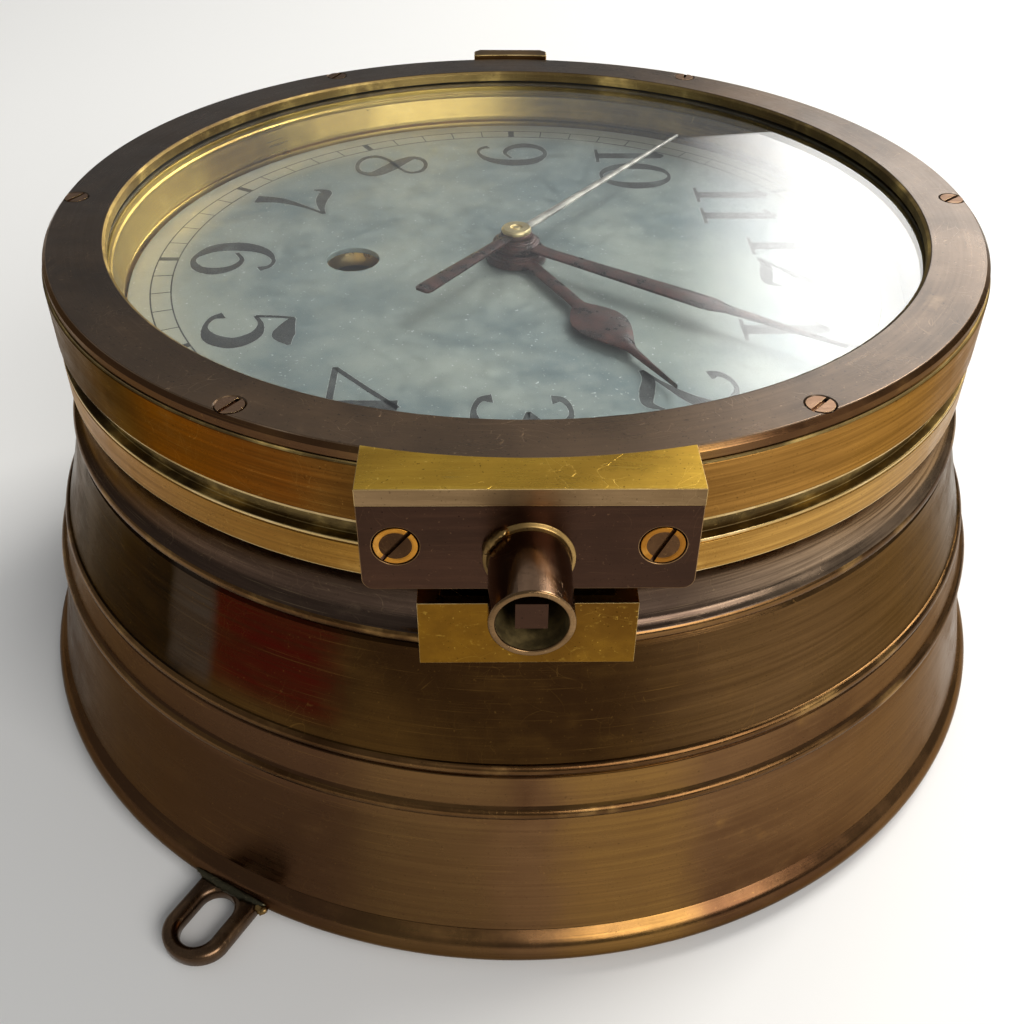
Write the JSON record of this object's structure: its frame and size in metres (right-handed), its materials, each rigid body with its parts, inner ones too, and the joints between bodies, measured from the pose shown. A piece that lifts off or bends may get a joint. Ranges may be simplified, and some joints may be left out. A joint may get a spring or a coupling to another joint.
{
  "type": "ship's deck clock",
  "caption": "Ship's wall clock: flared turned brass case with strap lugs, hinged and locked glazed bezel, silvered dial with centre seconds, key-wound lever movement.",
  "frame": {"origin": "centre of the flat rear face, which lies against the bulkhead", "axes": "+Z from the rear face out through the dial; +X towards twelve o'clock; -Y towards three o'clock, where the lock is; +Y towards the hinge at nine o'clock"},
  "size_m": [0.23, 0.2329, 0.1062],
  "materials": {
    "case_brass": "aged turned brass, brown patina, satin",
    "flange_brass": "worn turned brass, satin to bright",
    "back_brass": "aged brushed brass",
    "lug_brass": "dark aged brass",
    "bezel_brass": "circularly brushed aged brass",
    "ring_brass": "dark mottled patina, satin",
    "lock_brass": "scratched bright brass",
    "cover_brass": "dark purplish patina",
    "tube_brass": "brown brass, polished",
    "hinge_brass": "aged brass, satin",
    "screw_brass": "coppery worn brass",
    "dial_silver": "silvered brass, matt, lightly speckled",
    "hand_dark": "dark red-brown lacquer, satin",
    "hand_pale": "pale worn finish, satin",
    "cap_brass": "polished brass",
    "bezel_glass": "clear flat glass",
    "gasket": "black rubber",
    "steel": "machined steel",
    "blued_steel": "blued steel",
    "movement_brass": "polished movement brass"
  },
  "bodies": {
    "case": {"case_shell": "case_brass", "front_rim": "flange_brass", "back_plate": "back_brass", "back_plate_screws": "screw_brass", "mounting_lugs": "lug_brass", "lock_keeper": "lock_brass", "keeper_striker_pin": "steel", "case_hinge_leaf": "hinge_brass", "hinge_pin": "steel", "dial_carrier": "movement_brass", "carrier_screws": "steel", "dial": "dial_silver", "movement_front_plate": "movement_brass", "movement_back_plate": "movement_brass", "plate_pillars": "movement_brass", "movement_posts": "movement_brass", "movement_screws": "blued_steel", "centre_bridge": "movement_brass", "minute_wheel_stud": "steel", "hairspring": "blued_steel", "balance_cock": "movement_brass"},
    "bezel": {"bezel_frame": "bezel_brass", "front_ring": "ring_brass", "ring_screws": "screw_brass", "bezel_glass": "bezel_glass", "glass_gasket": "gasket", "bezel_seal": "gasket", "bezel_hinge_leaf": "hinge_brass", "lock_housing": "lock_brass", "lock_cover_plate": "cover_brass", "lock_cover_screws": "screw_brass", "key_tube": "tube_brass"},
    "lock": {"lock_arbor": "steel", "lock_claw": "steel"},
    "minute train": {"centre_arbor": "steel", "centre_wheel": "movement_brass", "cannon_pinion": "steel", "minute_hand": "hand_dark"},
    "hour train": {"hour_wheel": "movement_brass", "hour_hand": "hand_dark"},
    "minute wheel": {"minute_wheel": "movement_brass"},
    "seconds train": {"seconds_arbor": "steel", "seconds_wheel": "movement_brass", "seconds_hand": "hand_pale", "seconds_hand_cap": "cap_brass"},
    "third train": {"third_wheel": "movement_brass", "third_arbor": "steel"},
    "intermediate train": {"intermediate_wheel": "movement_brass", "intermediate_arbor": "steel"},
    "barrel": {"mainspring_barrel": "movement_brass", "barrel_cover": "movement_brass", "mainspring": "blued_steel"},
    "winding": {"winding_arbor": "steel", "ratchet_wheel": "steel"},
    "click": {"ratchet_click": "steel"},
    "escape": {"escape_wheel": "movement_brass"},
    "lever": {"pallet_lever": "steel"},
    "balance": {"balance_wheel": "movement_brass", "balance_staff": "steel"}
  },
  "joints": [
    {"name": "bezel_hinge", "type": "hinge", "parent": "case", "child": "bezel", "pos_m": [0, 0.1006, 0.08885], "axis": [-1, 0, 0], "range_deg": [0, 120]},
    {"name": "lock_turn", "type": "hinge", "parent": "bezel", "child": "lock", "pos_m": [0, -0.1, 0.0931], "axis": [0, 1, 0], "range_deg": [0, 90]},
    {"name": "centre_turn", "type": "hinge", "parent": "case", "child": "minute train", "pos_m": [0, 0, 0.06], "axis": [0, 0, -1], "continuous": true},
    {"name": "hour_turn", "type": "hinge", "parent": "case", "child": "hour train", "pos_m": [0, 0, 0.06], "axis": [0, 0, -1], "continuous": true},
    {"name": "minute_wheel_turn", "type": "hinge", "parent": "case", "child": "minute wheel", "pos_m": [-0.01018, 0.01018, 0.06], "axis": [0, 0, -1], "continuous": true},
    {"name": "intermediate_turn", "type": "hinge", "parent": "case", "child": "intermediate train", "pos_m": [-0.01317, -0.02148, 0.06], "axis": [0, 0, -1], "continuous": true},
    {"name": "barrel_turn", "type": "hinge", "parent": "case", "child": "barrel", "pos_m": [-0.0358, 0, 0.06], "axis": [0, 0, -1], "continuous": true},
    {"name": "third_turn", "type": "hinge", "parent": "case", "child": "third train", "pos_m": [0.02659, -0.00469, 0.06], "axis": [0, 0, -1], "continuous": true},
    {"name": "seconds_turn", "type": "hinge", "parent": "case", "child": "seconds train", "pos_m": [0, 0, 0.06], "axis": [0, 0, -1], "continuous": true},
    {"name": "escape_turn", "type": "hinge", "parent": "case", "child": "escape", "pos_m": [0, 0.022, 0.06], "axis": [0, 0, -1], "continuous": true},
    {"name": "winding_turn", "type": "hinge", "parent": "case", "child": "winding", "pos_m": [-0.0358, 0, 0.06], "axis": [0, 0, -1], "range_deg": [0, 2520]},
    {"name": "click_pivot", "type": "hinge", "parent": "case", "child": "click", "pos_m": [-0.04161, 0.01437, 0.06], "axis": [0, 0, 1], "range_deg": [0, 12]},
    {"name": "lever_rock", "type": "hinge", "parent": "case", "child": "lever", "pos_m": [0, 0.0324, 0.06], "axis": [0, 0, -1], "range_deg": [-5, 5]},
    {"name": "balance_swing", "type": "hinge", "parent": "case", "child": "balance", "pos_m": [0, 0.044, 0.06], "axis": [0, 0, -1], "range_deg": [-140, 140]}
  ],
  "couplings": [
    {"joint": "hour_turn", "follows": "centre_turn", "ratio": 0.083333},
    {"joint": "minute_wheel_turn", "follows": "centre_turn", "ratio": -0.33333},
    {"joint": "intermediate_turn", "follows": "centre_turn", "ratio": -0.16667},
    {"joint": "barrel_turn", "follows": "centre_turn", "ratio": 0.02381},
    {"joint": "third_turn", "follows": "centre_turn", "ratio": -8},
    {"joint": "seconds_turn", "follows": "centre_turn", "ratio": 60},
    {"joint": "escape_turn", "follows": "centre_turn", "ratio": -600}
  ]
}
